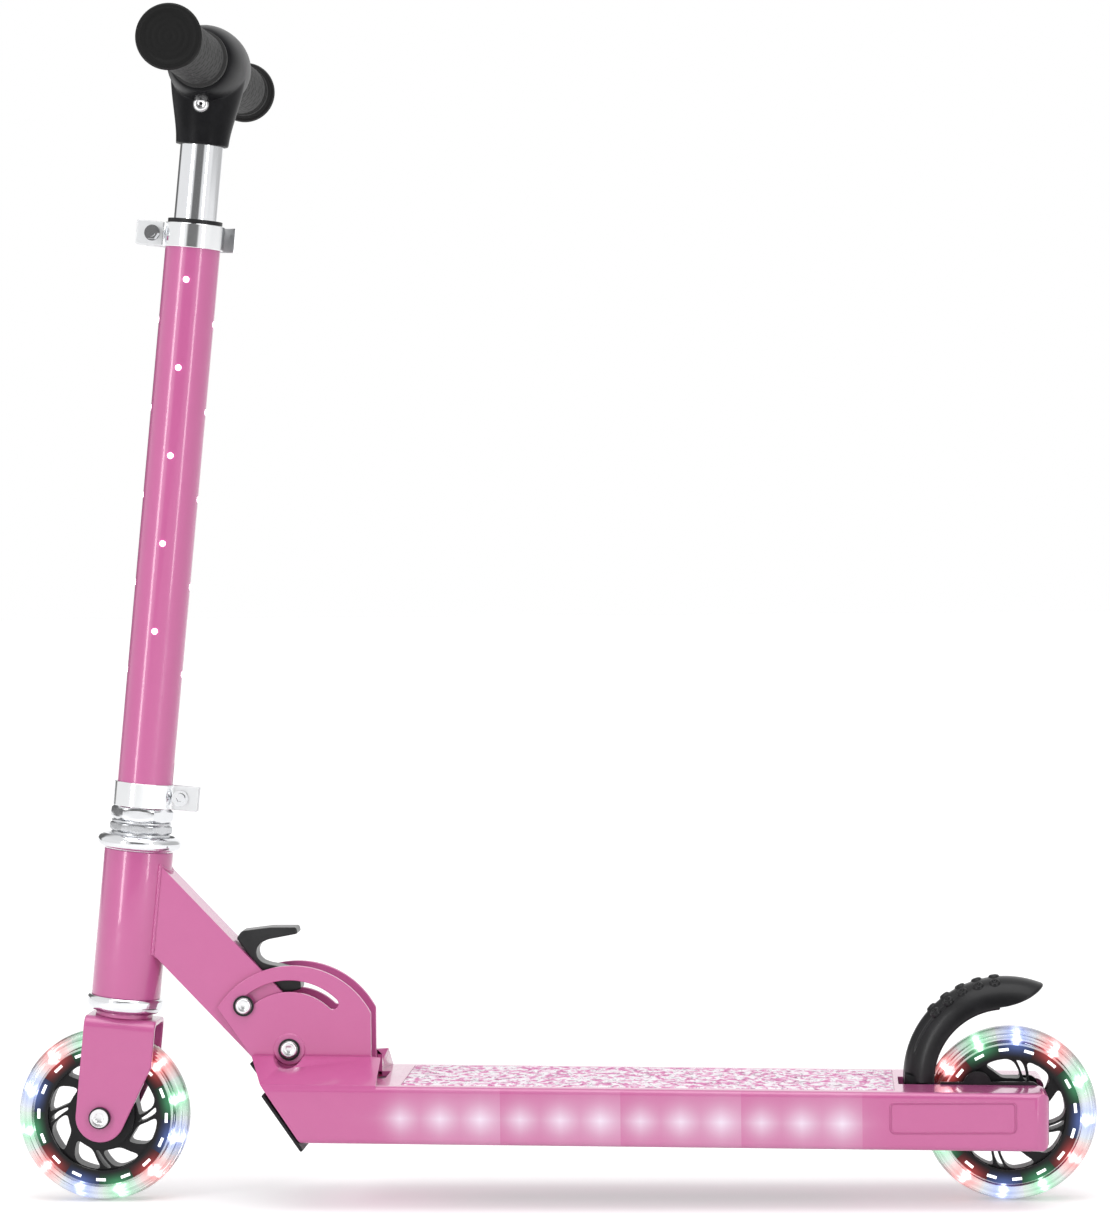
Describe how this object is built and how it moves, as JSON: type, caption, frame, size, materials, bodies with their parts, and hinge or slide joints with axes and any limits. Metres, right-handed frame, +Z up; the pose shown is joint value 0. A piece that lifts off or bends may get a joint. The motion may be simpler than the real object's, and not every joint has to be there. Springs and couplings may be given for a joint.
{
  "type": "kick scooter",
  "caption": "Folding kick scooter: clear light-up wheels, leaning stem with telescoping T handlebar, fold hinge with release lever, long low deck and rear brake fender.",
  "frame": {"origin": "on the floor, midway between the two axles, on the centre plane", "axes": "+X towards the rear wheel, +Y to the rider's right, +Z up; the scooter faces -X"},
  "size_m": [0.625, 0.33, 0.6807],
  "materials": {
    "pink_paint": "gloss pink enamel",
    "pink_shell": "gloss translucent pink moulding",
    "spine_steel": "zinc plated steel",
    "cap_black": "satin black",
    "bracket_black": "satin black powder coat",
    "grip_print": "printed grip sheet",
    "lamp": "lit lens",
    "light_board": "circuit board",
    "zinc": "zinc plated",
    "chrome": "polished",
    "fender_black": "moulded satin black nylon",
    "lever_black": "satin black",
    "spring_steel": "spring wire",
    "tube_chrome": "polished tube",
    "t_black": "satin moulding",
    "grip_rubber": "moulded rubber",
    "clear_tyre": "clear cast polyurethane",
    "core_black": "moulded core"
  },
  "bodies": {
    "deck": {"deck_shell": "pink_shell", "deck_spine": "spine_steel", "hinge_plate_left": "pink_paint", "hinge_plate_right": "pink_paint", "front_cap": "cap_black", "underside_cover": "cap_black", "cover_screws": "zinc", "grip_mat": "grip_print", "deck_lights": "lamp", "battery_box": "cap_black", "rear_bracket_left": "bracket_black", "rear_bracket_right": "bracket_black", "rear_axle": "chrome", "rear_axle_nut": "zinc", "rear_spacers": "zinc", "fender_pin": "zinc", "hinge_bolt": "chrome", "hinge_nut": "chrome"},
    "brake_fender": {"fender": "fender_black", "fender_spring": "spring_steel"},
    "neck": {"neck_frame": "pink_paint", "lock_bolt": "chrome", "lock_nut": "chrome", "lever_pin": "zinc", "lower_cup": "chrome", "upper_cup": "chrome", "headset_bearings": "zinc"},
    "fold_release": {"release_lever": "lever_black", "lever_spring": "spring_steel"},
    "steering": {"fork": "pink_paint", "crown_race": "chrome", "adjusting_race": "zinc", "lock_washer": "zinc", "locknut": "chrome", "front_axle": "chrome", "front_axle_nut": "zinc", "front_spacers": "zinc", "stem_tube": "pink_paint", "stem_leds": "lamp", "stem_light_strips": "light_board", "lower_clamp": "chrome", "lower_clamp_bolt": "chrome", "upper_clamp": "chrome", "clamp_skewer": "chrome", "stem_bushing": "cap_black"},
    "quick_release": {"cam_lever": "chrome"},
    "handlebar": {"post": "tube_chrome", "cross_bar": "tube_chrome", "t_cover": "t_black", "t_bolt": "chrome", "grip_left": "grip_rubber", "grip_right": "grip_rubber"},
    "front_wheel": {"front_tyre": "clear_tyre", "front_core": "core_black", "front_leds": "lamp", "front_bearings": "zinc"},
    "rear_wheel": {"rear_tyre": "clear_tyre", "rear_core": "core_black", "rear_leds": "lamp", "rear_bearings": "zinc"}
  },
  "joints": [
    {"name": "fold", "type": "hinge", "parent": "deck", "child": "neck", "pos_m": [-0.1521, 0, 0.0892], "axis": [0, 1, 0], "range_deg": [0, 90]},
    {"name": "fold_release", "type": "hinge", "parent": "neck", "child": "fold_release", "pos_m": [-0.1641, 0, 0.125], "axis": [0, 1, 0], "range_deg": [0, 15], "stiffness_Nm_per_rad": 0.2, "springref_deg": -17.19},
    {"name": "steer", "type": "hinge", "parent": "neck", "child": "steering", "pos_m": [-0.24948, 0, 0.11884], "axis": [0.1011, 0, 0.9949], "continuous": true},
    {"name": "height", "type": "slide", "parent": "steering", "child": "handlebar", "axis": [0.1011, 0, 0.9949], "range_m": [-0.035, 0.09]},
    {"name": "cam", "type": "hinge", "parent": "steering", "child": "quick_release", "pos_m": [-0.22835, 0.011, 0.56187], "axis": [0.1011, 0, 0.9949], "range_deg": [0, 110]},
    {"name": "front_wheel_spin", "type": "hinge", "parent": "steering", "child": "front_wheel", "pos_m": [-0.2625, 0, 0.05], "axis": [0, 1, 0], "continuous": true},
    {"name": "rear_wheel_spin", "type": "hinge", "parent": "deck", "child": "rear_wheel", "pos_m": [0.2625, 0, 0.05], "axis": [0, 1, 0], "continuous": true},
    {"name": "brake", "type": "hinge", "parent": "deck", "child": "brake_fender", "pos_m": [0.2064, 0, 0.059], "axis": [0, 1, 0], "range_deg": [0, 12], "stiffness_Nm_per_rad": 2, "springref_deg": -20.05}
  ]
}
